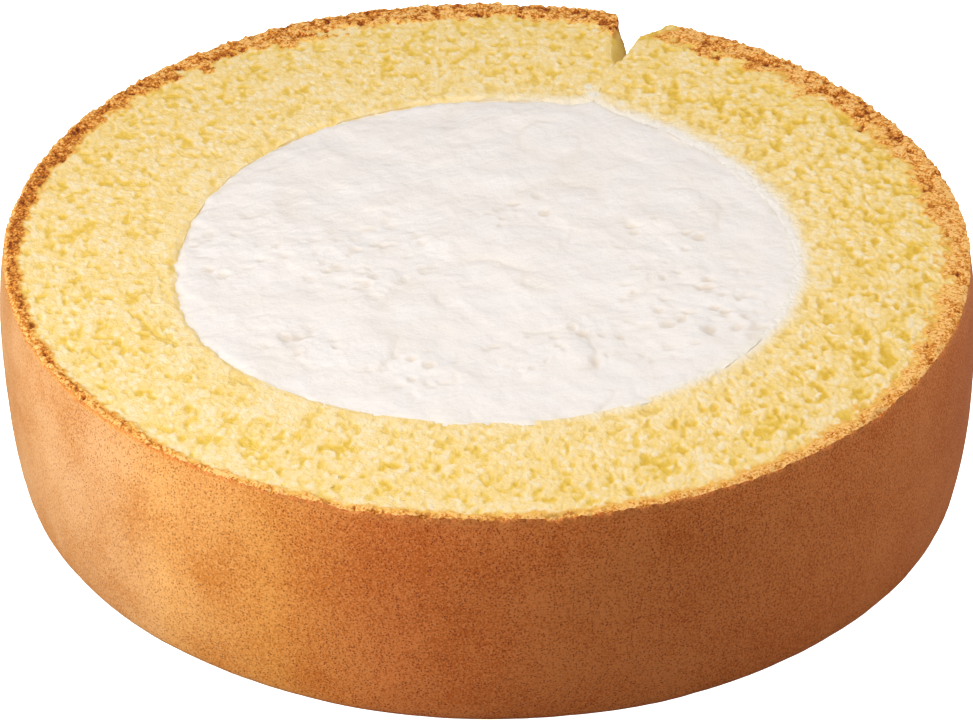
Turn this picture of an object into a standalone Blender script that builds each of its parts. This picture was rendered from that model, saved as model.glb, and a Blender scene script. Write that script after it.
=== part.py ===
"""Swiss roll cake: one thick slice of a single-turn roll, lying on a cut face.

A sheet of sponge, crusted on its outer side, is rolled once round a core of
whipped cream. The sheet's two ends meet at a seam, which gapes as a notch at
the outer side. Two solids: "sponge", the rolled sheet, and "cream", the core.

Units are metres and +Z is up. The origin is on the surface that the slice
rests on, in the middle of the roll's round outline.
"""
from math import atan2, cos, exp, pi, radians, sin, sqrt

import bpy

MM = 0.001

# The slice as a whole
ROLL_RADIUS = 50.0 * MM        # at the upper rim
HEIGHT = 25.0 * MM
WALL_TAPER = 0.4 * MM          # how far the outer wall draws in from top to base
WALL_BULGE = 0.95 * MM         # how far it swells in between
CUT_WAVER = 0.25 * MM          # how far the upper cut face strays from flat
WAVES = ((2, 0.6, 0.7), (5, 0.4, 2.0))    # of that waver: number round the rim, share, phase
RIM_ROUNDING = 0.4 * MM        # on the outer edge of the upper cut face
BASE_ROUNDING = 0.9 * MM       # on the outer edge that the slice stands on
FOOT_ROW = 0.3                 # share of the way up that rounding where a row of points lies

# The cream core, in its own polar frame
CREAM_CENTRE = (-0.3 * MM, -3.0 * MM)
CREAM_RADIUS = 31.4 * MM
CREAM_LOBES = ((2, 0.5 * MM, radians(63)), (3, 0.4 * MM, radians(-84)), (5, 0.2 * MM, radians(-10)))
CREAM_TONGUE = 1.6 * MM        # cream squeezed a little way into the seam
TONGUE_WIDTH = radians(3)
CREAM_BELOW_CUT = 0.15 * MM    # the core's surface under the sponge's cut face

# The seam where the sheet's ends meet, seen from the cream's centre
SEAM_ANGLE = radians(69)
SEAM_SLIT = 0.3 * MM           # width of the closed part of the seam, at the cream
NOTCH_START = 0.46             # share of the sheet's thickness where the notch begins
NOTCH_LEFT = radians(4.7)      # how far each end has pulled away at the outer side
NOTCH_RIGHT = radians(1.4)
NOTCH_FLARE = 1.2              # 1 is a straight-sided notch

GAP = 0.3 * MM                 # clearance between the two solids

# Mesh fineness
SHEET_STEPS = 120
SHEET_LAYERS = 8
WALL_STEPS = 6
CREAM_STEPS = 120
CREAM_RINGS = 5


def clear_scene():
    for thing in list(bpy.data.objects):
        bpy.data.objects.remove(thing, do_unlink=True)


def make_material(name, colour, roughness):
    material = bpy.data.materials.new(name)
    material.use_nodes = True
    shader = material.node_tree.nodes["Principled BSDF"]
    shader.inputs["Base Color"].default_value = (*colour, 1.0)
    shader.inputs["Roughness"].default_value = roughness
    shader.inputs["Metallic"].default_value = 0.0
    return material


def make_object(name, vertices, faces, material):
    mesh = bpy.data.meshes.new(name)
    mesh.from_pydata(vertices, [], faces)
    mesh.validate()
    mesh.materials.append(material)
    mesh.shade_smooth()
    mesh.set_sharp_from_angle(angle=radians(40))
    piece = bpy.data.objects.new(name, mesh)
    bpy.context.collection.objects.link(piece)
    return piece


def from_cream_centre(angle, radius, height):
    x = CREAM_CENTRE[0] + radius * cos(angle)
    y = CREAM_CENTRE[1] + radius * sin(angle)
    return (x, y, height)


def cream_radius(angle):
    """Distance from the cream's centre to its edge: a circle with soft lobes."""
    radius = CREAM_RADIUS
    for order, size, phase in CREAM_LOBES:
        radius += size * cos(order * angle - phase)
    off_seam = (angle - SEAM_ANGLE + pi) % (2 * pi) - pi
    return radius + CREAM_TONGUE * exp(-((off_seam / TONGUE_WIDTH) ** 2))


def wall_radius(angle, roll_radius):
    """Distance from the cream's centre to the roll's round outer wall."""
    along = CREAM_CENTRE[0] * cos(angle) + CREAM_CENTRE[1] * sin(angle)
    centre_squared = CREAM_CENTRE[0] ** 2 + CREAM_CENTRE[1] ** 2
    return -along + sqrt(roll_radius**2 - centre_squared + along**2)


def cut_height(x, y):
    """The upper cut face: level, but for the knife's slight waver."""
    bearing = atan2(y, x)
    reach = sqrt(x**2 + y**2) / ROLL_RADIUS
    waver = sum(share * sin(number * bearing + phase) for number, share, phase in WAVES)
    return HEIGHT - CUT_WAVER * (1 - waver * reach**2)


def end_angle(depth, opening):
    """How far an end of the sheet stands off the seam line at this depth."""
    flare = max(0.0, (depth - NOTCH_START) / (1 - NOTCH_START)) ** NOTCH_FLARE
    return 0.5 * SEAM_SLIT / CREAM_RADIUS + opening * flare


def sheet_point(along, depth, roll_radius, height):
    """A point of the sheet: along it from one end to the other, and through
    its thickness, from 0 at the cream to 1 at the outer wall."""
    start = SEAM_ANGLE + end_angle(depth, NOTCH_LEFT)
    finish = SEAM_ANGLE + 2 * pi - end_angle(depth, NOTCH_RIGHT)
    angle = start + along * (finish - start)
    inner = cream_radius(angle) + GAP
    radius = inner + depth * (wall_radius(angle, roll_radius) - inner)
    return from_cream_centre(angle, radius, height)


def sheet_levels():
    """Heights of the sheet's rows of points, from the base to the cut face."""
    low = BASE_ROUNDING
    high = HEIGHT - RIM_ROUNDING
    middle = [low + (high - low) * step / WALL_STEPS for step in range(WALL_STEPS + 1)]
    return [0.0, FOOT_ROW * BASE_ROUNDING, *middle, HEIGHT]


def wall_reach(height):
    """The outer wall's radius: it swells gently between the rim and the base."""
    up = height / HEIGHT
    return ROLL_RADIUS - WALL_TAPER * (1 - up) + 4 * WALL_BULGE * up * (1 - up)


def rounding_at(height):
    """How far the outer wall draws in where it rounds into the base or the cut face."""
    if height < BASE_ROUNDING:
        return BASE_ROUNDING * (1 - height / BASE_ROUNDING) ** 2
    return RIM_ROUNDING if height == HEIGHT else 0.0


def lattice_point(along, depth, height):
    roll_radius = wall_reach(height)
    if depth == 1.0:
        roll_radius -= rounding_at(height)
    x, y, z = sheet_point(along, depth, roll_radius, height)
    return (x, y, z + (cut_height(x, y) - HEIGHT) * height / HEIGHT)


def lattice_sides(sizes):
    """The outer faces of a box of cells, as loops of (i, j, k) corners that face outwards."""
    for axis in range(3):
        first, second = (axis + 1) % 3, (axis + 2) % 3
        for level in (0, sizes[axis]):
            for a in range(sizes[first]):
                for b in range(sizes[second]):
                    loop = []
                    for step_a, step_b in ((0, 0), (1, 0), (1, 1), (0, 1)):
                        corner = [0, 0, 0]
                        corner[axis] = level
                        corner[first] = a + step_a
                        corner[second] = b + step_b
                        loop.append(tuple(corner))
                    yield loop if level else loop[::-1]


def make_sponge(material):
    """The rolled sheet: a long flat box of cells, along the sheet, through it and
    up it, bent round the cream. Only its outer faces are made."""
    depths = [step / SHEET_LAYERS for step in range(SHEET_LAYERS + 1)]
    levels = sheet_levels()
    numbers = {}
    vertices = []
    faces = []
    for loop in lattice_sides((SHEET_STEPS, SHEET_LAYERS, len(levels) - 1)):
        for corner in loop:
            if corner not in numbers:
                i, j, k = corner
                numbers[corner] = len(vertices)
                vertices.append(lattice_point(i / SHEET_STEPS, depths[j], levels[k]))
        # Along, outwards and up is a left-handed order, so each loop is turned over
        faces.append(tuple(numbers[corner] for corner in reversed(loop)))
    return make_object("sponge", vertices, faces, material)


def cream_ring(share, height):
    """Points round the cream at a share of the way out to its edge."""
    angles = [2 * pi * step / CREAM_STEPS for step in range(CREAM_STEPS)]
    return [from_cream_centre(angle, share * cream_radius(angle), height) for angle in angles]


def make_cream(material):
    """The core: rings of points out over the base, up the side and in over the top."""
    shares = [step / CREAM_RINGS for step in range(1, CREAM_RINGS + 1)]
    top = HEIGHT - CUT_WAVER - CREAM_BELOW_CUT
    rings = [cream_ring(share, 0.0) for share in shares]
    rings += [cream_ring(share, top) for share in reversed(shares)]
    vertices = [point for ring in rings for point in ring]
    faces = []
    for low in range(0, len(vertices) - CREAM_STEPS, CREAM_STEPS):
        high = low + CREAM_STEPS
        for step in range(CREAM_STEPS):
            after = (step + 1) % CREAM_STEPS
            faces.append((low + step, low + after, high + after, high + step))
    last = len(vertices) - CREAM_STEPS
    base_centre = len(vertices)
    top_centre = base_centre + 1
    vertices += [(*CREAM_CENTRE, 0.0), (*CREAM_CENTRE, top)]
    for step in range(CREAM_STEPS):
        after = (step + 1) % CREAM_STEPS
        faces.append((base_centre, after, step))
        faces.append((top_centre, last + step, last + after))
    return make_object("cream", vertices, faces, material)


def main():
    clear_scene()
    sponge_look = make_material("sponge", (0.93, 0.76, 0.36), 0.85)
    cream_look = make_material("cream", (0.93, 0.90, 0.85), 0.6)
    make_sponge(sponge_look)
    make_cream(cream_look)


main()
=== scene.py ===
from math import cos, pi, radians, sin

import bpy
import numpy as np
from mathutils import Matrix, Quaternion, Vector


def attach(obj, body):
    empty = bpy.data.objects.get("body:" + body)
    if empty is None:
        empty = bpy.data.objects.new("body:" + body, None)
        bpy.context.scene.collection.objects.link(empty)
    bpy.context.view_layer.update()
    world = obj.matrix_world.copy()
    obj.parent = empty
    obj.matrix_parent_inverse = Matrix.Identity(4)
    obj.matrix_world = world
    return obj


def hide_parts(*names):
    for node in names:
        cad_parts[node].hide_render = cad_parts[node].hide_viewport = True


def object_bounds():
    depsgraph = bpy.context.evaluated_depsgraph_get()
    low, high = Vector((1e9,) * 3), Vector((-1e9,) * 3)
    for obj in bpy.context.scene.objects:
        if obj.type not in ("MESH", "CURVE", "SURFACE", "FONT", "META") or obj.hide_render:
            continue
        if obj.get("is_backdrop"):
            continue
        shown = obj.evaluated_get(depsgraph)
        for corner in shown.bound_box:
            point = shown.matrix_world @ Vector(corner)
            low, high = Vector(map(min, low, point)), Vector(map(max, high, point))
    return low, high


# ---------------------------------------------------------------------------
# The frame: the slice's size and the cream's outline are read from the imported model
# ---------------------------------------------------------------------------
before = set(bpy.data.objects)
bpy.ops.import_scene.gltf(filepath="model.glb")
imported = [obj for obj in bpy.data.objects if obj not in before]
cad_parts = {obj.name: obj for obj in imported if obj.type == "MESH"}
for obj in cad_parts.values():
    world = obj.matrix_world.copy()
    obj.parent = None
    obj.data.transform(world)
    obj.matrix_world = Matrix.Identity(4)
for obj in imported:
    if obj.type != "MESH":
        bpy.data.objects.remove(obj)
cad_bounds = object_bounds()

# Lengths are in millimetres as far as the stage, and meshes are scaled to metres when made
MM = 0.001
cad_low, cad_high = Vector(cad_bounds[0]), Vector(cad_bounds[1])
WALL_SWELL = 0.75          # how far the CAD model's wall stands out past its rim
ROLL_RADIUS = 0.5 * (cad_high.x - cad_low.x) / MM - WALL_SWELL
HEIGHT = cad_high.z / MM
CREAM_CENTRE = np.array([-0.3, -3.0])
BASE_SHRINK = 0.5          # how far the wall draws in from the cut face to the base
WALL_BULGE = 1.1           # how far it swells in between
BULGE_POWER = 2.6          # 2 is a round swell, and more is flatter in the middle
WALL_LEAN = 0.45           # how far the base has slid to the right under the rim
BASE_ROUNDING = 0.9
CREAM_STEPS = 120          # points round the edge of the CAD model's core

# Bearings of the sheet's two ends, seen from the cream's centre, at shares of the way
# out through the sheet. They lie together up to 0.46, and the notch opens from there.
# At the cut face they are torn a little otherwise than further down.
LEFT_AT_CUT = (
    (0, 69.4), (0.46, 70.2), (0.485, 70.9), (0.61, 72.0),
    (0.77, 72.8), (0.91, 73.0), (0.97, 73.8), (1, 75.2),
)
LEFT_BELOW = (
    (0, 69.0), (0.46, 69.0), (0.61, 70.2), (0.80, 71.8), (0.91, 73.0), (0.97, 73.8), (1, 75.2),
)
RIGHT_AT_CUT = ((0, 69.4), (0.46, 70.2), (0.49, 69.5), (0.80, 69.4), (0.90, 67.7), (1, 67.3))
RIGHT_BELOW = ((0, 69.0), (0.46, 69.0), (0.80, 68.2), (0.90, 67.7), (1, 67.3))
TORN_DEPTH = 2.2           # how far below the cut face the ends are torn otherwise
TEARS_BEGIN = 0.42         # share of the way out where the ends' torn lumps begin
TEARS_FULL = 0.55          # and where they are full size
SHEET_THICKNESS = 19.0     # about; it runs from 15 to 22

# Mesh fineness, for each of the sectors that the sponge is made in
SECTORS = 4
TOP_COLUMNS = 512
TOP_ROWS = 128
WALL_COLUMNS = 256
WALL_ROWS = 44
BASE_ROWS = 64


# ---------------------------------------------------------------------------
# Repeatable noise
# ---------------------------------------------------------------------------
def lattice_random(column, row, seed):
    """A repeatable random number from 0 to 1 for each whole-number cell. The large numbers
    only stir the bits of the cell's place and the seed together."""
    mixed = (column * 374761393 + row * 668265263 + seed * 982451653) & 0xFFFFFFFF
    mixed = ((mixed ^ (mixed >> 13)) * 1274126177) & 0xFFFFFFFF
    mixed ^= mixed >> 16
    return (mixed & 0xFFFFFF) / 0x1000000


def smooth_noise(x, y, size, seed):
    """Soft noise from -1 to 1 with features of about the given size."""
    u, v = x / size, y / size
    column, row = np.floor(u).astype(np.int64), np.floor(v).astype(np.int64)
    u, v = u - column, v - row
    u, v = u * u * (3 - 2 * u), v * v * (3 - 2 * v)
    corners = [lattice_random(column + i, row + j, seed) for j in (0, 1) for i in (0, 1)]
    near = corners[0] * (1 - u) + corners[1] * u
    far = corners[2] * (1 - u) + corners[3] * u
    return 2 * (near * (1 - v) + far * v) - 1


def rough_noise(x, y, size, seed, octaves=3):
    """Noise of several sizes, each half the last, and half as strong."""
    total = 0
    for octave in range(octaves):
        total = total + smooth_noise(x, y, size / 2**octave, seed + octave) / 2**octave
    return total / (2 - 2 ** (1 - octaves))


def scattered(u, v, seed):
    """One random spot to a cell: for each of the nine cells round a point, its column
    and row and the square of the distance to its spot."""
    column, row = np.floor(u).astype(np.int64), np.floor(v).astype(np.int64)
    for step_x in (-1, 0, 1):
        for step_y in (-1, 0, 1):
            i, j = column + step_x, row + step_y
            away_u = i + lattice_random(i, j, seed) - u
            away_v = j + lattice_random(i, j, seed + 1) - v
            yield i, j, away_u**2 + away_v**2


def grains(x, y, size, seed):
    """Packed round lumps: their height, 1 on top and falling to 0 in the creases
    between, and a random shade for each lump, from 0 to 1."""
    nearest = np.full(np.shape(x), np.inf)
    shade = np.zeros(np.shape(x))
    for i, j, away in scattered(x / size, y / size, seed):
        shade = np.where(away < nearest, lattice_random(i, j, seed + 2), shade)
        nearest = np.minimum(nearest, away)
    return np.clip(1 - nearest, 0, 1), shade


def pits(x, y, size, smallest, largest, seed, chance):
    """How deep round bubbles are cut into: 0 between them. Each cell has the given
    chance of holding one."""
    deepest = np.zeros(np.shape(x))
    for i, j, away in scattered(x / size, y / size, seed):
        share = lattice_random(i, j, seed + 2)
        radius = (smallest + (largest - smallest) * share**2) / size
        there = lattice_random(i, j, seed + 3) < chance
        depth = np.sqrt(np.clip(radius**2 - away, 0, None)) * size
        deepest = np.maximum(deepest, depth * there)
    return deepest


def ease(x, low, high):
    """0 up to low, 1 from high on, and a smooth rise between."""
    t = np.clip((x - low) / (high - low), 0, 1)
    return t * t * (3 - 2 * t)


# ---------------------------------------------------------------------------
# The sheet's layout, as in the CAD model
# ---------------------------------------------------------------------------
def cream_outline():
    """The CAD core's edge, as bearings from its centre and the distance at each."""
    points = np.array([vertex.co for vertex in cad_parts["cream"].data.vertices])[:, :2] / MM
    points -= CREAM_CENTRE
    reach = np.hypot(points[:, 0], points[:, 1])
    bearing = np.arctan2(points[:, 1], points[:, 0])
    slot = np.round(bearing / (2 * pi / CREAM_STEPS)).astype(int) % CREAM_STEPS
    edge = np.array([reach[slot == number].max() for number in range(CREAM_STEPS)])
    angles = np.arange(CREAM_STEPS + 1) * 2 * pi / CREAM_STEPS
    return angles, np.append(edge, edge[0])


OUTLINE = cream_outline()


def cream_radius(angle):
    """Distance from the cream's centre to its edge in the CAD model."""
    return np.interp(angle % (2 * pi), *OUTLINE)


def wall_radius(angle, roll_radius):
    """Distance from the cream's centre to a round wall of the given radius."""
    along = CREAM_CENTRE[0] * np.cos(angle) + CREAM_CENTRE[1] * np.sin(angle)
    return -along + np.sqrt(roll_radius**2 - CREAM_CENTRE @ CREAM_CENTRE + along**2)


def wall_swell(share):
    """How far the wall stands out past the rim, at a share of the way down to the base."""
    return WALL_BULGE * (1 - np.abs(2 * share - 1) ** BULGE_POWER) - BASE_SHRINK * share


def end_bearings(depth, below):
    """Bearings of the left and right end at a depth through the sheet, where below
    is 0 at the cut face and 1 from TORN_DEPTH down."""
    left_cut, left_low, right_cut, right_low = [
        np.radians(np.interp(depth, *zip(*points)))
        for points in (LEFT_AT_CUT, LEFT_BELOW, RIGHT_AT_CUT, RIGHT_BELOW)
    ]
    left = left_cut + below * (left_low - left_cut)
    right = right_cut + below * (right_low - right_cut)
    return left, right


def sheet_plan(along, depth, below=0.0, roll_radius=ROLL_RADIUS):
    """Plan position of a point of the sheet: along it from end to end, and through
    it, from 0 at the cream to 1 at the wall."""
    left, right = end_bearings(depth, below)
    angle = left + along * (right + 2 * pi - left)
    inner = cream_radius(angle)
    radius = inner + depth * (wall_radius(angle, roll_radius) - inner)
    return CREAM_CENTRE[0] + radius * np.cos(angle), CREAM_CENTRE[1] + radius * np.sin(angle)


def past_ends(x, y, depth):
    """Distances past the sheet's left and right end at the cut face, counted leftwards."""
    reach = np.hypot(x - CREAM_CENTRE[0], y - CREAM_CENTRE[1])
    bearing = np.arctan2(y - CREAM_CENTRE[1], x - CREAM_CENTRE[0])
    left, right = end_bearings(depth, 0.0)
    return [((bearing - end + pi) % (2 * pi) - pi) * reach for end in (left, right)]


# ---------------------------------------------------------------------------
# The sponge's faces: positions, and tones for the materials
# ---------------------------------------------------------------------------
CRUST_MEAN = 2.3           # width of the browned band on the cut face
CRUST_SWING = 1.45         # it is that much wider at the back, and narrower at the front
CRUST_WIDEST = radians(70)
CRUST_OVAL = 0.12          # and a little wider at the two ends of this line
CRUST_LINE = radians(13)
STRAYS = radians(85)       # the side where bits of crust stray furthest into the crumb
SOFTEST = radians(-20)     # and the side where the band's inner edge is softest
WORN_RIM = 0.8             # width of the strip at the rim that is out of true
DARKEST = radians(175)     # the side where the crust is browned most
LIGHTEST = radians(312)    # and the side where it is browned least
PAINTED_HIGHLIGHT_SIDE = radians(202)   # the side that the key light falls on, where the wall's skin is painted paler as a painted highlight
PINHOLE_SHADE_SIDE = radians(264)    # and the side where the key light grazes the wall, where the pinholes' painted shade is strongest
BARE_SIDE = radians(148)   # the side where least cream is dragged over the crumb
SMEARED_SIDE = radians(8)  # and the side where most is
CRUMB_STRETCH = 1.45       # the crumb's holes are a little longer than they are wide


def crust_width(x, y):
    bearing = np.arctan2(y, x)
    swing = (
        CRUST_SWING * np.cos(bearing - CRUST_WIDEST)
        + CRUST_OVAL * np.cos(2 * (bearing - CRUST_LINE))
    )
    return CRUST_MEAN + swing


def crumb_relief(x, y, seed):
    """Height of a cut crumb face, and its tone: 0 on the palest lumps, 1 deep in a gap. The
    deepening in gaps and creases is painted shade.
    """
    y = y / CRUMB_STRETCH
    bent_x = x + 0.22 * rough_noise(x, y, 0.9, seed + 20, 2)
    bent_y = y + 0.22 * rough_noise(x, y, 0.9, seed + 30, 2)
    swell = 0.10 * rough_noise(x, y, 5.0, seed)
    open_field = (
        0.36 * smooth_noise(bent_x, bent_y, 1.15, seed + 40)
        + 0.78 * smooth_noise(bent_x, bent_y, 0.66, seed + 41)
        + 0.46 * smooth_noise(bent_x, bent_y, 0.40, seed + 42)
    )
    lumps, shade = grains(bent_x, bent_y, 0.60, seed + 3)
    crumbs, _ = grains(bent_x, bent_y, 0.36, seed + 9)
    large = pits(bent_x, bent_y, 2.4, 0.25, 0.55, seed + 13, 0.4)
    gap = np.maximum(ease(open_field, -0.1, 1.05), np.clip(1.5 * large, 0, 1))
    height = swell + 0.095 * lumps + 0.085 * crumbs - 0.11 - 0.13 * gap
    clouds = smooth_noise(bent_x, bent_y, 0.95, seed + 50)
    # Painted shade: the tone deepens in the gaps and in the creases between the lumps. The clouds
    # and each lump's own shade are random tone.
    tone = 0.27 + 0.62 * gap + 0.30 * (0.75 - lumps) + 0.12 * clouds
    tone -= 0.26 * ease(shade, 0.5, 1.0) * lumps
    return height, np.clip(tone, 0, 1)


def most_browned(x, y):
    """1 on the side where the crust is browned most, falling to 0 a quarter turn away."""
    return np.clip(np.cos(np.arctan2(y, x) - DARKEST), 0, 1) ** 4


def crust_relief(x, y):
    """Height and darkness of the browned band: clumps with dark holes between, inside
    a paler skin at the rim. The darkness in the holes and between the clumps is painted shade, and
    the paler clump tops painted highlights."""
    bent_x = x + 0.20 * rough_noise(x, y, 0.7, 88, 2)
    bent_y = y + 0.20 * rough_noise(x, y, 0.7, 89, 2)
    lumps, shade = grains(bent_x, bent_y, 0.62, 81)
    holes = ease(rough_noise(bent_x, bent_y, 0.9, 84, 3), 0.10, 0.65)
    patches = rough_noise(x, y, 1.7, 87, 2)
    height = 0.30 * lumps - 0.42 * holes + 0.12 * patches - 0.10
    left = most_browned(x, y)
    front = np.clip(np.cos(np.arctan2(y, x) - LIGHTEST), 0, 1) ** 2
    skin = 1 - ease(ROLL_RADIUS - np.hypot(x, y), 0.15, 0.65)
    # Painted shade and highlight: darker in the holes and between the clumps, lighter on the clump
    # tops. The clumps' own shades and the patches are random tone.
    dark = 0.26 + 0.75 * (0.75 - lumps) + 0.80 * holes + 0.55 * (0.5 - shade) + 0.22 * patches
    dark = (dark + left * (0.5 - 0.45 * dark)) * (1 - 0.58 * front)
    dark = dark * (1 - (0.40 + 0.45 * left) * skin * (1 - front))
    return height * (1 - 0.6 * front), np.clip(dark, 0, 1)


def edge_wear(x, y, rim):
    """Loss of height near the rim, where the crust crumbles in cutting."""
    chips = np.clip(rough_noise(x, y, 2.6, 71), 0, 1)
    fine = 0.36 + 0.5 * rough_noise(x, y, 0.45, 75)
    back = np.clip(y / ROLL_RADIUS, 0, 1)
    close = 1 - ease(rim, 0.0, 0.7)
    return close * ((0.30 + 0.35 * back) * fine + (0.45 - 0.20 * back) * chips)


def browning(x, y, depth):
    """How far each point of the cut face is browned, 1 in the band and 0 in the crumb,
    and how far past the band's inner edge it lies, towards the middle."""
    rim = ROLL_RADIUS - np.hypot(x, y)
    past_left, past_right = past_ends(x, y, depth)
    width = crust_width(x, y) + 1.3 * (past_left > -0.3) * np.exp(-np.abs(past_left) / 1.6)
    loose = 0.70 * smooth_noise(x, y, 1.9, 55) + 0.65 * smooth_noise(x, y, 0.9, 56)
    loose = loose + 0.75 * smooth_noise(x, y, 0.40, 58)
    bearing = np.arctan2(y, x)
    back = np.clip(np.cos(bearing - STRAYS), 0, 1)
    ragged = loose + 1.5 * back * ease(rough_noise(x, y, 2.2, 59, 2), 0.0, 0.5)
    ragged *= np.minimum(1, 0.10 + width / 3.2) * (1 - 0.45 * most_browned(x, y))
    edge = width + ragged
    blur = 0.40 + 0.35 * np.clip(np.cos(bearing - SOFTEST), 0, 1)
    # Beside the notch's right side the crust has broken away
    torn = (past_right < 0.5) * (1 - ease(0.5 * loose - past_right, 1.0, 2.3))
    return (1 - ease(rim, edge - blur, edge + blur)) * (1 - torn), rim - edge


def cut_crumb(x, y, depth, off_crust):
    """Height and tone of the crumb on the upper cut face."""
    height, pore = crumb_relief(x, y, 100)
    # It is rougher towards the right, and deeper in tone there: painted shade, away from the key
    # light
    right = np.clip(x / ROLL_RADIUS, 0, 1)
    height = height * (1 + right)
    pore = pore * (1 + 0.35 * right)

    # It is dry and pale beside the crust, and smoother beside the cream
    dry = 1 - ease(off_crust, 0.4, 2.6)
    pore = pore * (1 - 0.20 * dry) + 0.10 * dry * ease(y, -10, 20)
    off_cream = depth * SHEET_THICKNESS
    calm = 1 - ease(off_cream, 0.5, 3.5)
    height = height * (1 - 0.20 * calm)
    pore = pore * (1 - 0.15 * calm) + 0.05 * calm

    # It falls away to the cream, most of all at the back left, and along the seam
    ragged = 0.5 + 0.5 * rough_noise(x, y, 0.9, 62, 2)
    bare = 0.5 + 0.5 * np.cos(np.arctan2(y, x) - BARE_SIDE)
    lip = (1 - ease(off_cream, 0.0, 0.35 + 0.8 * ragged)) * (0.04 + 0.96 * bare**1.5)
    lip = lip * (0.25 + 0.75 * ease(rough_noise(x, y, 2.4, 64, 2), -0.35, 0.25))
    seam = np.minimum(*np.abs(past_ends(x, y, depth)))
    crease = np.exp(-((seam / 0.30) ** 2)) * (0.4 + 0.6 * ragged)
    height = height - 0.45 * lip - (0.10 + 0.22 * ease(depth, 0.38, 0.5)) * crease
    # Painted shade: where the crumb falls away to the cream, and in the seam's crease, its tone is
    # deepened to gold
    return height, np.maximum(pore, np.maximum(0.75 * lip, 0.4 * crease))


def top_face(along, depth):
    """Positions on the upper cut face, with the tones that the materials read."""
    x, y = sheet_plan(along, depth)
    crust, off_crust = browning(x, y, depth)
    height, pore = cut_crumb(x, y, depth, off_crust)
    crisp, dark = crust_relief(x, y)
    height = height + crust * (crisp - height)
    tone = np.clip(pore + crust * (dark - pore), 0, 1)
    milk = cream_smears(x, y, depth * SHEET_THICKNESS)

    # The rim is worn and a little out of true, and within it points stray sideways
    rim = ROLL_RADIUS - np.hypot(x, y)
    wear = edge_wear(x, y, rim)
    wobble = (rim < WORN_RIM) * 0.15 * rough_noise(x, y, 0.5, 91)
    scale = 1 - (0.25 * wear + wobble * (1 - rim / WORN_RIM)) / ROLL_RADIUS
    inside = ease(rim, 0, 0.6) * ease(depth, 0, 0.03)
    shift_x = 0.07 * rough_noise(x, y, 0.55, 61)
    shift_y = 0.07 * rough_noise(x, y, 0.55, 65)
    x = x * scale + shift_x * inside
    y = y * scale + shift_y * inside
    return np.stack([x, y, HEIGHT + height - wear], -1), tone, crust, milk


# Bits of cream squeezed out by the seam: bearing, distance from the cream's centre, radius
SEAM_CREAM = (
    (radians(69.8), 34.6, 1.7), (radians(71.6), 36.0, 0.9),
    (radians(64.2), 34.0, 1.3), (radians(61.6), 32.8, 1.3), (radians(58.6), 31.9, 1.1),
)


def cream_smears(x, y, off_cream):
    """Cream that the knife has dragged over the crumb beside the core."""
    covered = ease(np.cos(np.arctan2(y, x) - SMEARED_SIDE), -0.35, 0.85)
    patch = 0.5 + 0.5 * rough_noise(x, y, 1.6, 95)
    fine = 0.5 + 0.5 * rough_noise(x, y, 0.5, 99, 2)
    reach = 0.5 + (1.0 + 3.0 * covered) * (0.35 + 0.65 * patch) * (0.6 + 0.4 * fine)
    film = (1 - ease(off_cream, 0.5 * covered - 0.3, reach + 0.6)) * (0.28 + 0.72 * covered)
    # A thin haze of it reaches further out
    haze = 0.22 * (1 - ease(off_cream, 1.0, 7.0)) * ease(off_cream + 3 * covered, 0.3, 1.6)
    film = np.maximum(film, haze)
    for turn, distance, size in SEAM_CREAM:
        spot_x = CREAM_CENTRE[0] + distance * cos(turn)
        spot_y = CREAM_CENTRE[1] + distance * sin(turn)
        away = np.hypot(x - spot_x, y - spot_y) + 0.6 * rough_noise(x, y, 1.2, 97)
        film = np.maximum(film, 0.90 * (1 - ease(away, 0.1 * size, 1.2 * size)))
    return film


def wall_face(along, share):
    """Positions on the outer wall, where share is 0 at the rim and 1 at the base. Its
    tones are the glow under the rim, the strength of the pinholes' painted shade and the skin's
    painted highlight on its key-lit side."""
    height = HEIGHT * (1 - share)
    x, y = sheet_plan(along, np.ones_like(along))
    bearing = np.arctan2(y, x)
    arc = bearing * ROLL_RADIUS
    foot = np.clip(1 - height / BASE_ROUNDING, 0, 1) ** 2 * BASE_ROUNDING
    uneven = 0.10 * smooth_noise(arc, height, 9.0, 41) + 0.05 * rough_noise(arc, height, 2.5, 43)
    skin = 0.02 * rough_noise(arc, height, 0.7, 47)
    scale = 1 + (wall_swell(share) - foot - 0.10 - uneven - skin) / ROLL_RADIUS
    # Painted highlight: the skin is painted paler on the side the key light falls on, and the
    # pinholes' painted shade is strongest where that light grazes the wall
    painted_highlight = ease(np.cos(bearing - PAINTED_HIGHLIGHT_SIDE), 0.50, 0.98)
    holes = 0.18 + 0.82 * ease(np.cos(bearing - PINHOLE_SHADE_SIDE), 0.2, 0.9)
    return (
        np.stack([x * scale + WALL_LEAN * share, y * scale, height], -1),
        1 - ease(HEIGHT - height, 0.0, 0.9), holes, painted_highlight,
    )


def base_face(along, depth):
    """Positions on the cut crumb that the slice lies on. Its hollows lie above the floor."""
    x, y = sheet_plan(along, depth, 1.0, ROLL_RADIUS - BASE_SHRINK - BASE_ROUNDING)
    height, pore = crumb_relief(x, y, 500)
    lift = np.clip(0.10 - height, 0, None)
    rim = ROLL_RADIUS - np.hypot(x, y)
    crust = 1 - ease(rim + 0.5 * rough_noise(x, y, 1.0, 155), 1.9, 2.6)
    return np.stack([x + WALL_LEAN, y, lift], -1), pore, crust, 0.0


# The torn ends take their noise from places far off, so that they differ from each other
# and from the cut face
ENDS_APART = 60
CRUST_APART = 90


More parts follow.
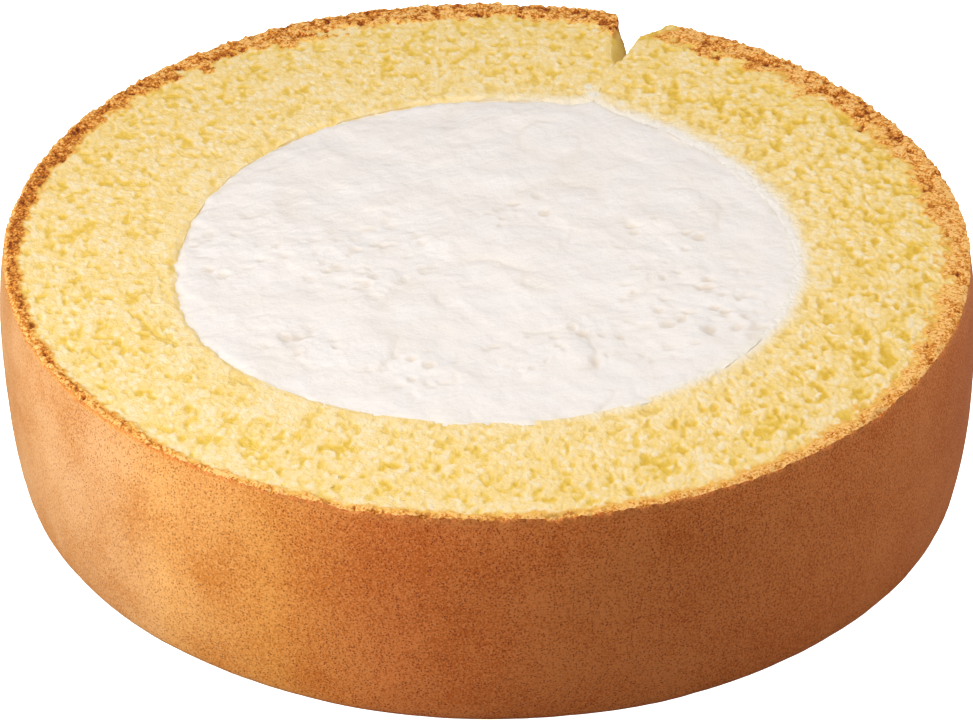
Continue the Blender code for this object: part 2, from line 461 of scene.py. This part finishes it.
def end_face(end, depth, share):
    """Positions on the torn crumb at an end of the sheet: end is 0 for the left one
    and 1 for the right one, and share runs from 0 at the cut face to 1 at the base."""
    share = share ** (1 + 0.6 * (1 - depth))
    drop = HEIGHT * share
    below = ease(drop, 0.0, TORN_DEPTH)
    x, y = sheet_plan(np.full_like(depth, end), depth, below, ROLL_RADIUS + wall_swell(share))
    across = depth * SHEET_THICKNESS
    lumps, pore = crumb_relief(across, drop + ENDS_APART * end, 700)
    tears = 0.5 * rough_noise(across, drop + ENDS_APART * end, 3.0, 721)
    loose = ease(depth, TEARS_BEGIN, TEARS_FULL) * ease(1 - depth, 0, 0.04)
    loose = loose * ease(share, 0, 0.06) * ease(1 - share, 0, 0.06)
    push = (0.9 * lumps + tears) * loose * (1 if end == 0 else -1)
    bearing = np.arctan2(y - CREAM_CENTRE[1], x - CREAM_CENTRE[0])
    x = x - push * np.sin(bearing)
    y = y + push * np.cos(bearing)
    crust, _ = browning(x, y, depth)
    _, dark = crust_relief(across + CRUST_APART, drop)
    # Painted shade: the torn ends are given a deeper golden tone than the cut face, for the shade in
    # the notch
    pore = 0.50 + 0.30 * pore
    tone = pore + crust * (dark - pore)
    return np.stack([x + WALL_LEAN * share, y, HEIGHT - drop], -1), tone, crust, 0.0


# ---------------------------------------------------------------------------
# Mesh helpers
# ---------------------------------------------------------------------------
# The tones kept at each point, for the materials. On the crumb they say how deep in a gap
# it lies, which is drawn as painted shade, how far it is browned and how far cream is smeared over
# it. The wall and the cream keep tones of their own in the same three: on the wall, the second is
# the pinholes' painted shade and the third the skin's painted highlight.
TONES = ("pore", "crust", "milk")
SHARP_FROM = radians(75)   # edges that bend more than this aren't smoothed


def add_points(store, points, *tones):
    """Adds a grid of points to the store, and returns the grid of their numbers."""
    shape = points.shape[:2]
    first = store["count"]
    amount = shape[0] * shape[1]
    store["points"].append(points.reshape(-1, 3))
    for key, tone in zip(TONES, tones):
        store[key].append(np.broadcast_to(tone, shape).reshape(-1))
    store["count"] += amount
    return np.arange(first, first + amount).reshape(shape)


def grid_faces(numbers):
    """Quads over a grid of point numbers."""
    a, b = numbers[:-1, :-1], numbers[1:, :-1]
    c, d = numbers[1:, 1:], numbers[:-1, 1:]
    return np.stack([a, b, c, d], -1).reshape(-1, 4).tolist()


def join_rows(fine, coarse):
    """Faces between a row of points and a sparser one, each taking in the fine row's points."""
    ratio = (len(fine) - 1) // (len(coarse) - 1)
    faces = []
    for step in range(len(coarse) - 1):
        own = fine[step * ratio:(step + 1) * ratio + 1].tolist()
        faces.append([*own, int(coarse[step + 1]), int(coarse[step])])
    return faces


def mesh_object(name, store, faces, materials, kinds=None):
    """An object of the stored points and their tones, where kinds are the numbers of the
    faces' materials."""
    points = np.concatenate(store["points"]) * MM
    mesh = bpy.data.meshes.new(name)
    mesh.from_pydata(points.tolist(), [], faces)
    for key in TONES:
        attribute = mesh.attributes.new(key, "FLOAT", "POINT")
        attribute.data.foreach_set("value", np.concatenate(store[key]).astype(np.float32))
    for material in materials:
        mesh.materials.append(material)
    if kinds is not None:
        mesh.polygons.foreach_set("material_index", np.array(kinds, np.int32))
    mesh.shade_smooth()
    mesh.set_sharp_from_angle(angle=SHARP_FROM)
    mesh.update()
    piece = bpy.data.objects.new(name, mesh)
    bpy.context.scene.collection.objects.link(piece)
    return piece


def new_store():
    return {"points": [], "count": 0, **{key: [] for key in TONES}}


# ---------------------------------------------------------------------------
# The sponge
# ---------------------------------------------------------------------------
def end_lattice(store, end, top_row, wall_column, base_row):
    """Faces over the torn end of the sheet. Its rows and columns are twice as far apart
    as the points along the cut face and down the wall, which its outer cells take in."""
    rows, columns = WALL_ROWS // 2, BASE_ROWS
    share = np.arange(1, rows)[:, None] / rows
    depth = np.arange(columns)[None, :] / columns
    depth, share = np.broadcast_arrays(depth, share)
    inner = add_points(store, *end_face(end, depth, share))
    lattice = np.zeros((rows + 1, columns + 1), int)
    lattice[0] = top_row[::2]
    lattice[:, -1] = wall_column[::2]
    lattice[-1, :-1] = base_row[::-1]
    lattice[1:-1, :-1] = inner
    faces = []
    for row in range(rows):
        for column in range(columns):
            loop = [lattice[row, column]]
            if row == 0:
                loop.append(top_row[2 * column + 1])
            loop.append(lattice[row, column + 1])
            if column == columns - 1:
                loop.append(wall_column[2 * row + 1])
            loop += [lattice[row + 1, column + 1], lattice[row + 1, column]]
            faces.append([int(number) for number in loop])
    return faces, lattice[1:-1, 0].tolist()


def make_sector(number, crumb, skin):
    """One of the pieces that the sheet is made in: its share of the cut face, the wall
    and the base, closed by flat joints, or by the sheet's torn end."""
    store = new_store()
    low, high = number / SECTORS, (number + 1) / SECTORS
    along_top = np.linspace(low, high, TOP_COLUMNS + 1)
    along_wall = np.linspace(low, high, WALL_COLUMNS + 1)
    outwards = np.linspace(0, 1, TOP_ROWS + 1)
    down = np.arange(1, WALL_ROWS + 1) / WALL_ROWS
    inwards = 1 - np.arange(1, BASE_ROWS + 1) / BASE_ROWS
    top = add_points(store, *top_face(*np.meshgrid(along_top, outwards, indexing="ij")))
    wall = add_points(store, *wall_face(*np.meshgrid(along_wall, down, indexing="ij")))
    base = add_points(store, *base_face(*np.meshgrid(along_wall, inwards, indexing="ij")))

    crumb_faces = grid_faces(top)
    skin_faces = join_rows(top[:, -1], wall[:, 0]) + grid_faces(wall)
    crumb_faces += grid_faces(np.column_stack([wall[:, -1], base]))
    inner_faces = join_rows(top[:, 0], base[:, -1])
    for end, place in ((0, 0), (1, -1)):
        torn = number == (0 if end == 0 else SECTORS - 1)
        if torn:
            wall_column = [top[place, -1], *wall[place]]
            faces, column = end_lattice(store, end, top[place], wall_column, base[place])
            # The strip behind the cream takes in the lattice's innermost column
            if end == 0:
                inner_faces[0] = inner_faces[0] + column[::-1]
            else:
                inner_faces[-1] = inner_faces[-1][:3] + column + inner_faces[-1][3:]
        else:
            faces = [[*top[place].tolist(), *wall[place].tolist(), *base[place].tolist()]]
        crumb_faces += [face[::-1] for face in faces] if end == 0 else faces
    crumb_faces += [face[::-1] for face in inner_faces]
    # All of them are listed clockwise as seen from outside, so they are turned over
    faces = [face[::-1] for face in crumb_faces + skin_faces]
    kinds = [0] * len(crumb_faces) + [1] * len(skin_faces)
    piece = mesh_object(f"sponge_sector_{number + 1}", store, faces, [crumb, skin], kinds)
    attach(piece, "root")
    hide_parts("sponge")


# ---------------------------------------------------------------------------
# The cream
# ---------------------------------------------------------------------------
CREAM_CELLS = 256
CREAM_BASE_CELLS = 128
CREAM_OVERLAP = 0.7         # how far its upper edge reaches past the CAD core's
CREAM_BELOW_CUT = 0.04      # how far its face lies under the sponge's
DRAG_BEARING = radians(36)  # the way in which the knife was drawn over it
# Parts of its face that are pitted: x, y, reach, and how strongly
DENTED = (
    (-25, -2, 9, 0.7), (-12, -3, 10, 0.6), (-18, -21, 6, 0.8), (-7, -25, 5, 0.8),
    (5, 5, 6, 0.8), (19, 1, 7, 0.8), (21, -12, 10, 1.0), (13, -19, 7, 1.0), (5, -21, 6, 0.7),
)


def disc_grid(cells):
    """A square grid bent into a disc: bearing and share of the radius at each point."""
    side = np.linspace(-1, 1, cells + 1)
    a, b = np.meshgrid(side, side, indexing="ij")
    reach = np.maximum(np.abs(a), np.abs(b))
    # Square rings turned into round ones, with even steps of bearing along each side
    safe = np.where(reach == 0, 1, reach)
    beside = np.abs(a) >= np.abs(b)
    flat = np.where(beside, b / safe, a / safe)
    turn = np.where(beside, np.where(a > 0, 0, pi), np.where(b > 0, pi / 2, -pi / 2))
    sign = np.where(beside, np.where(a > 0, 1, -1), np.where(b > 0, -1, 1))
    return turn + sign * flat * pi / 4, reach


def ring_of(numbers):
    """The point numbers round the edge of a square grid, in order."""
    return np.concatenate([numbers[:-1, 0], numbers[-1, :-1], numbers[:0:-1, -1], numbers[0, :0:-1]])


def cream_relief(x, y):
    """Height of the core's upper face, and its tone: up to 1 in a pit or a fold, where it is partly
    painted shade and partly a yellow tint.
    """
    drag_along = x * cos(DRAG_BEARING) + y * sin(DRAG_BEARING)
    drag_across = y * cos(DRAG_BEARING) - x * sin(DRAG_BEARING)
    drag_across = drag_across + 0.9 * smooth_noise(x, y, 12.0, 219)
    bent_x = x + 0.7 * rough_noise(x, y, 2.2, 245, 2)
    bent_y = y + 0.7 * rough_noise(x, y, 2.2, 247, 2)
    swell = 0.22 * rough_noise(x, y, 8.0, 211)
    streaks = 0.045 * rough_noise(drag_along / 3, drag_across, 1.5, 221, 2)
    lumps = 0.34 * rough_noise(bent_x, bent_y, 4.2, 231, 4)
    dented = 0
    for patch_x, patch_y, reach, strength in DENTED:
        away = np.hypot(x - patch_x, y - patch_y) + 2.0 * smooth_noise(x, y, 4.0, 243)
        dented = np.maximum(dented, strength * (1 - ease(away, 0.4 * reach, 1.1 * reach)))
    holes = pits(0.5 * (x + bent_x), 0.5 * (y + bent_y), 2.5, 0.45, 0.85, 246, 0.50)
    dents = np.maximum(ease(rough_noise(bent_x, bent_y, 1.5, 241, 2), 0.30, 0.85), 1.1 * holes)
    dents = np.clip(dents, 0, 1) * dented
    rough = 0.15 * rough_noise(bent_x, bent_y, 1.4, 255, 2) * dented
    folds = np.clip(1 - 3.5 * np.abs(smooth_noise(bent_x, bent_y, 7.0, 249)), 0, 1) ** 2
    folds = folds * ease(smooth_noise(x, y, 5.0, 250), -0.1, 0.5)
    height = swell + streaks + lumps + rough - 0.36 * dents - 0.17 * folds
    # The tone in the pits and folds is partly painted shade and partly a yellow tint
    return height, np.clip(1.4 * dents + 0.35 * folds, 0, 1)


def cream_top(bearing, share):
    """The core's upper face. Its edge runs a little way into the sponge all round, so that
    the two meet in an uneven line, with the cream dragged over the crumb here and there."""
    edge = cream_radius(bearing) + CREAM_OVERLAP
    x = CREAM_CENTRE[0] + share * edge * np.cos(bearing)
    y = CREAM_CENTRE[1] + share * edge * np.sin(bearing)
    height, tone = cream_relief(x, y)
    inward = (1 - share) * edge
    patch = 0.5 + 0.5 * rough_noise(x, y, 1.3, 261, 2)
    bare = 0.5 + 0.5 * np.cos(bearing - BARE_SIDE)
    fall = 1 - ease(inward, 0.0, 0.9 + 1.6 * patch)
    fray = 0.34 * rough_noise(x, y, 0.7, 271, 2) + 0.30 * smooth_noise(x, y, 1.8, 273)
    sink = fall * (0.50 * bare - 0.16 + 0.15 * patch + fray * (0.6 - 0.2 * bare))
    sink = sink + 0.16 * (1 - ease(inward, 0.0, 0.8))
    level = HEIGHT - CREAM_BELOW_CUT + height * (1 - 0.5 * fall) - sink
    return np.stack([x, y, level], -1), tone, 0.0, fall


def cream_base(bearing, share):
    """The core's lower face, which is almost flat."""
    reach = share * cream_radius(bearing)
    x = CREAM_CENTRE[0] + reach * np.cos(bearing)
    y = CREAM_CENTRE[1] + reach * np.sin(bearing)
    lift = 0.08 + 0.08 * rough_noise(x, y, 2.4, 251)
    return np.stack([x, y, np.clip(lift, 0, None)], -1), 0.0, 0.0, 0.0


def make_cream(look):
    store = new_store()
    top = add_points(store, *cream_top(*disc_grid(CREAM_CELLS)))
    base = add_points(store, *cream_base(*disc_grid(CREAM_BASE_CELLS)))
    rim, foot = ring_of(top), ring_of(base)
    rim, foot = np.append(rim, rim[0]), np.append(foot, foot[0])
    faces = grid_faces(top) + [face[::-1] for face in grid_faces(base)]
    faces += [face[::-1] for face in join_rows(rim, foot)]
    piece = mesh_object("cream_core", store, faces, [look])
    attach(piece, "root")
    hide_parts("cream")


# ---------------------------------------------------------------------------
# Materials
# ---------------------------------------------------------------------------
class Nodes:
    """A short way to write a material's node tree."""

    def __init__(self, name):
        self.material = bpy.data.materials.new(name)
        self.material.use_nodes = True
        self.tree = self.material.node_tree
        self.shader = self.tree.nodes["Principled BSDF"]
        coordinates = self.node("ShaderNodeTexCoord").outputs["Object"]
        self.place = self.mapping(coordinates, Scale=(1 / MM, 1 / MM, 1 / MM))

    def feed(self, socket, value):
        """Links another node's output to a socket, or sets the socket to a plain value."""
        if isinstance(value, bpy.types.NodeSocket):
            self.tree.links.new(value, socket)
        else:
            socket.default_value = value

    def fill(self, node, inputs):
        """Feeds the sockets of a node, where an underscore stands for a space in a name."""
        for name, value in inputs.items():
            self.feed(node.inputs[name.replace("_", " ")], value)

    def node(self, kind, **inputs):
        node = self.tree.nodes.new(kind)
        self.fill(node, inputs)
        return node

    def surface(self, **inputs):
        """Feeds the shader's own sockets."""
        self.fill(self.shader, inputs)

    def mapping(self, vector, **inputs):
        return self.node("ShaderNodeMapping", Vector=vector, **inputs).outputs["Vector"]

    def attribute(self, name):
        node = self.node("ShaderNodeAttribute")
        node.attribute_name = name
        return node.outputs["Fac"]

    def noise(self, size, detail=3.0, roughness=0.55, place=None):
        """Noise from 0 to 1 with features of about the given size in millimetres."""
        node = self.node(
            "ShaderNodeTexNoise", Vector=place or self.place,
            Scale=1 / size, Detail=detail, Roughness=roughness,
        )
        return node.outputs["Fac"]

    def cells(self, size, randomness):
        """Distance, in cells, to the nearest of the spots that are scattered one to a cell."""
        node = self.node(
            "ShaderNodeTexVoronoi", Vector=self.place, Scale=1 / size, Randomness=randomness,
        )
        return node.outputs["Distance"]

    def math(self, operation, first, second=0.0, third=0.0):
        node = self.node("ShaderNodeMath")
        node.operation = operation
        for socket, value in zip(node.inputs, (first, second, third)):
            self.feed(socket, value)
        return node.outputs[0]

    def ramp(self, factor, stops):
        """A colour for each level of factor; stops are (level, colour) pairs."""
        node = self.node("ShaderNodeValToRGB", Fac=factor)
        elements = node.color_ramp.elements
        while len(elements) < len(stops):
            elements.new(0.5)
        for element, (level, colour) in zip(elements, stops):
            element.position = level
            element.color = (*colour, 1.0)
        return node.outputs["Color"]

    def levels(self, factor, low, high):
        """factor stretched so that low becomes 0 and high becomes 1."""
        node = self.node("ShaderNodeMapRange", Value=factor, From_Min=low, From_Max=high)
        return node.outputs["Result"]

    def mix(self, factor, first, second, blend="MIX"):
        """Two colours mixed: the node's sockets 0, 6 and 7 take the factor and the colours,
        and its output 2 gives the colour that comes of it."""
        node = self.node("ShaderNodeMix")
        node.data_type = "RGBA"
        node.blend_type = blend
        self.feed(node.inputs[0], factor)
        self.feed(node.inputs[6], first)
        self.feed(node.inputs[7], second)
        return node.outputs[2]

    def bump(self, height, depth):
        """Fine relief, where a height of 1 stands out by the given depth in millimetres."""
        node = self.node("ShaderNodeBump", Height=height, Distance=depth * MM, Strength=1.0)
        self.surface(Normal=node.outputs["Normal"])


def crumb_look():
    """Cut sponge: pale lumps over golden gaps, a browned band at the rim, and cream
    smeared thinly over the crumb by the core. The gaps' deeper gold is painted shade."""
    look = Nodes("sponge_crumb")
    pore = look.attribute("pore")
    crust = look.attribute("crust")
    milk = look.attribute("milk")
    speck = look.math("SUBTRACT", look.noise(0.3, 2.0), 0.5)
    depth = look.math("MULTIPLY_ADD", speck, 0.16, pore)
    # Painted shade: the deeper the tone, down in the gaps, the darker and more golden the crumb
    crumb = look.ramp(depth, (
        (0.0, (0.830, 0.672, 0.415)),
        (0.3, (0.815, 0.592, 0.235)),
        (0.65, (0.760, 0.505, 0.098)),
        (1.0, (0.680, 0.420, 0.048)),
    ))
    film = look.ramp(milk, (
        (0.0, (0.81, 0.68, 0.41)),
        (0.6, (0.80, 0.71, 0.56)),
        (1.0, (0.785, 0.728, 0.67)),
    ))
    crumb = look.mix(milk, crumb, film)
    grain = look.math("SUBTRACT", look.noise(0.26, 3.0), 0.5)
    # The crust's darker tones, in its holes and creases, are painted shade, and its palest, on the
    # clump tops, painted highlights
    burn = look.math("MULTIPLY_ADD", grain, 2.8, pore)
    brown = look.ramp(burn, (
        (0.0, (0.85, 0.505, 0.175)),
        (0.25, (0.74, 0.320, 0.052)),
        (0.55, (0.535, 0.170, 0.017)),
        (0.85, (0.33, 0.077, 0.008)),
        (1.0, (0.195, 0.040, 0.006)),
    ))
    # Between crumb and crust the sponge is only toasted gold
    toast = look.ramp(crust, (
        (0.0, (0.0, 0.0, 0.0)),
        (0.55, (0.25, 0.25, 0.25)),
        (1.0, (1.0, 1.0, 1.0)),
    ))
    gold = look.mix(look.levels(crust, 0.0, 0.45), crumb, (0.78, 0.44, 0.085, 1.0))
    colour = look.mix(toast, gold, brown)
    look.surface(Base_Color=colour, Roughness=0.85, Specular_IOR_Level=0.25)
    look.bump(look.noise(0.24, 2.0), 0.115)
    return look.material


def skin_look():
    """The roll's baked outer skin: matte tan, hardly mottled, and full of fine pinholes. It is
    painted paler on its key-lit side, a painted highlight, and its pinholes hold painted shade.
    """
    look = Nodes("sponge_skin")
    rim = look.attribute("pore")
    pinhole_shade = look.attribute("crust")
    painted_highlight = look.attribute("milk")
    cloud = look.noise(9.0, 4.0)
    grain = look.noise(0.22, 3.0, 0.7)
    # The grain is painted weaker where the skin is painted pale, on its key-lit side
    weight = look.math("MULTIPLY_ADD", painted_highlight, -1.9, 3.4)
    tone = look.math("MULTIPLY_ADD", look.math("SUBTRACT", grain, 0.5), weight, cloud)
    # Painted highlight: the skin's colour is paler and less saturated towards its key-lit side
    colour = look.ramp(painted_highlight, (
        (0.0, (0.835, 0.264, 0.062)),
        (0.47, (0.915, 0.400, 0.085)),
        (0.88, (0.925, 0.485, 0.158)),
        (1.0, (0.815, 0.450, 0.200)),
    ))
    mottle = look.ramp(look.levels(tone, 0.2, 0.8), (
        (0.0, (0.735, 0.480, 0.170)),
        (0.5, (0.890, 0.800, 0.670)),
        (1.0, (1.0, 1.0, 1.0)),
    ))
    colour = look.mix(1.0, colour, mottle, "MULTIPLY")
    # It is paler and more golden just under the cut
    edge = look.math("MULTIPLY", rim, look.levels(look.noise(0.3, 3.0), 0.40, 0.62))
    colour = look.mix(edge, colour, (0.80, 0.38, 0.09, 1.0))
    # The pinholes: round dots, in patches, and none just under the cut. Their dark colour is painted
    # shade in the holes, strongest where the key light grazes the wall
    dot = look.levels(look.cells(0.31, 0.8), 0.33, 0.18)
    patches = look.levels(look.noise(1.0, 2.0), 0.22, 0.48)
    dot = look.math("MULTIPLY", dot, look.math("MULTIPLY", patches, pinhole_shade))
    dot = look.math("MULTIPLY", dot, look.math("SUBTRACT", 1.0, rim))
    colour = look.mix(dot, colour, (0.44, 0.22, 0.06, 1.0), "MULTIPLY")
    look.surface(Base_Color=colour, Roughness=0.7, Specular_IOR_Level=0.3)
    look.surface(Sheen_Weight=0.05, Sheen_Roughness=0.4)
    relief = look.math("MULTIPLY_ADD", dot, -0.25, look.math("MULTIPLY", grain, 0.40))
    look.bump(relief, 0.09)
    return look.material


def cream_look():
    """Whipped cream: matte white, faintly yellow at its edge, and darker and yellow in its pits and
    folds, partly as painted shade.
    """
    look = Nodes("cream")
    pore = look.attribute("pore")
    edge = look.attribute("milk")
    cast = look.levels(look.noise(5.0, 3.0), 0.30, 0.70)
    tint = look.mix(cast, (0.778, 0.724, 0.690, 1.0), (0.782, 0.718, 0.662, 1.0))
    # Painted shade, with a yellow tint: the pits and folds are darker and warmer
    tint = look.mix(pore, tint, (0.695, 0.60, 0.505, 1.0))
    tint = look.mix(look.math("MULTIPLY", edge, 0.55), tint, (0.785, 0.705, 0.57, 1.0))
    look.surface(Base_Color=tint, Roughness=0.55, Specular_IOR_Level=0.35)
    # Its fine relief is drawn out along the knife's way
    turned = look.mapping(look.place, Rotation=(0, 0, -DRAG_BEARING))
    drag = look.mapping(turned, Scale=(0.35, 1, 1))
    fluff = look.math("MULTIPLY_ADD", look.noise(0.6, 4.0), 1.0, look.noise(0.6, 3.0, place=drag))
    look.bump(fluff, 0.09)
    return look.material


# ---------------------------------------------------------------------------
# Stage: floor, lights and camera. Lengths are in metres here
# ---------------------------------------------------------------------------
CAMERA_DISTANCE = 0.500
CAMERA_ELEVATION = radians(34.45)
CAMERA_RAISE = 0.001
CAMERA_AIM_HEIGHT = 0.0099
CAMERA_ROLL = radians(-0.285)
CAMERA_LENS = 173.8
# The lamps' bearing and elevation, distance and width, and power in watts
LAMPS = {
    "key": (radians(212), radians(22), 0.20, 0.12, 0.268),
    "fill": (radians(353), radians(16), 0.60, 0.40, 0.84),
    "top": (radians(330), radians(85), 0.232, 0.18, 0.405),
}
WHITE = (1.0, 1.0, 1.0, 1.0)
WORLD_LIGHT = 0.165    # on the cake, from all round
BACKDROP_GLOW = 2.4    # where the camera sees past the floor
FLOOR_GLOW = 1.6       # where the camera sees the floor
FLOOR_DIM = 0.35       # share of the light that the floor sends back up at the cake
FLOOR_REACH = 3.0
FLOOR_DROP = 0.0002    # below the cake's base


def when_looked_at(tree, output, seen, otherwise):
    """Gives one shader to the rays that come from the camera, and another to all others."""
    camera_ray = tree.nodes.new("ShaderNodeLightPath").outputs["Is Camera Ray"]
    both = tree.nodes.new("ShaderNodeMixShader")
    tree.links.new(camera_ray, both.inputs[0])
    tree.links.new(otherwise.outputs[0], both.inputs[1])
    tree.links.new(seen.outputs[0], both.inputs[2])
    tree.links.new(both.outputs[0], tree.nodes[output].inputs["Surface"])


def floor_look():
    """A pale floor. It is lifted towards white where it is looked at, but sends
    only a little light back up at the cake's sides."""
    look = Nodes("floor")
    look.surface(Base_Color=(0.9, 0.9, 0.9, 1.0), Roughness=0.9, Specular_IOR_Level=0.0)
    look.surface(Emission_Color=WHITE, Emission_Strength=FLOOR_GLOW)
    dim = look.node("ShaderNodeBsdfDiffuse", Color=(FLOOR_DIM, FLOOR_DIM, FLOOR_DIM, 1.0))
    when_looked_at(look.tree, "Material Output", look.shader, dim)
    return look.material


def make_floor(look):
    mesh = bpy.data.meshes.new("floor")
    sides = ((-1, -1), (1, -1), (1, 1), (-1, 1))
    corners = [(side_x * FLOOR_REACH, side_y * FLOOR_REACH, 0) for side_x, side_y in sides]
    mesh.from_pydata(corners, [], [(0, 1, 2, 3)])
    mesh.materials.append(look)
    floor = bpy.data.objects.new("floor", mesh)
    bpy.context.scene.collection.objects.link(floor)
    floor.location.z = -FLOOR_DROP
    floor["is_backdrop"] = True


def make_lamp(name, bearing, elevation, distance, size, power):
    light = bpy.data.lights.new(name, "AREA")
    light.shape = "DISK"
    light.size = size
    light.energy = power
    lamp = bpy.data.objects.new(name, light)
    flat = distance * cos(elevation)
    lamp.location = (flat * cos(bearing), flat * sin(bearing), distance * sin(elevation))
    lamp.rotation_euler = (-lamp.location).to_track_quat("-Z", "Y").to_euler()
    lamp.visible_camera = False
    bpy.context.scene.collection.objects.link(lamp)


def make_camera():
    camera = bpy.data.objects.new("camera", bpy.data.cameras.new("camera"))
    camera.data.lens = CAMERA_LENS
    camera.data.sensor_width = 36.0
    flat = CAMERA_DISTANCE * cos(CAMERA_ELEVATION)
    camera.location = (0, -flat, CAMERA_DISTANCE * sin(CAMERA_ELEVATION) + CAMERA_RAISE)
    view = Vector((0, 0, CAMERA_AIM_HEIGHT)) - camera.location
    aim = view.to_track_quat("-Z", "Y")
    aim.rotate(Quaternion(view.normalized(), CAMERA_ROLL))
    camera.rotation_euler = aim.to_euler()
    camera.data.clip_start = 0.01
    bpy.context.scene.collection.objects.link(camera)
    bpy.context.scene.camera = camera


def make_world():
    """Even light from all round, which looks white where the camera sees past the floor."""
    world = bpy.data.worlds.new("studio")
    bpy.context.scene.world = world
    world.use_nodes = True
    nodes = world.node_tree.nodes
    light, backdrop = nodes["Background"], nodes.new("ShaderNodeBackground")
    for background, strength in ((light, WORLD_LIGHT), (backdrop, BACKDROP_GLOW)):
        background.inputs["Color"].default_value = WHITE
        background.inputs["Strength"].default_value = strength
    when_looked_at(world.node_tree, "World Output", backdrop, light)


make_camera()
make_world()
for name, placing in LAMPS.items():
    make_lamp(name, *placing)
make_floor(floor_look())
bpy.context.scene.view_settings.view_transform = "Standard"
bpy.context.scene.view_settings.look = "None"

crumb_material = crumb_look()
skin_material = skin_look()
for number in range(SECTORS):
    make_sector(number, crumb_material, skin_material)
make_cream(cream_look())

bounds = {"cad": cad_bounds, "visual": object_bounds()}
{name: [list(corner) for corner in box] for name, box in bounds.items()}
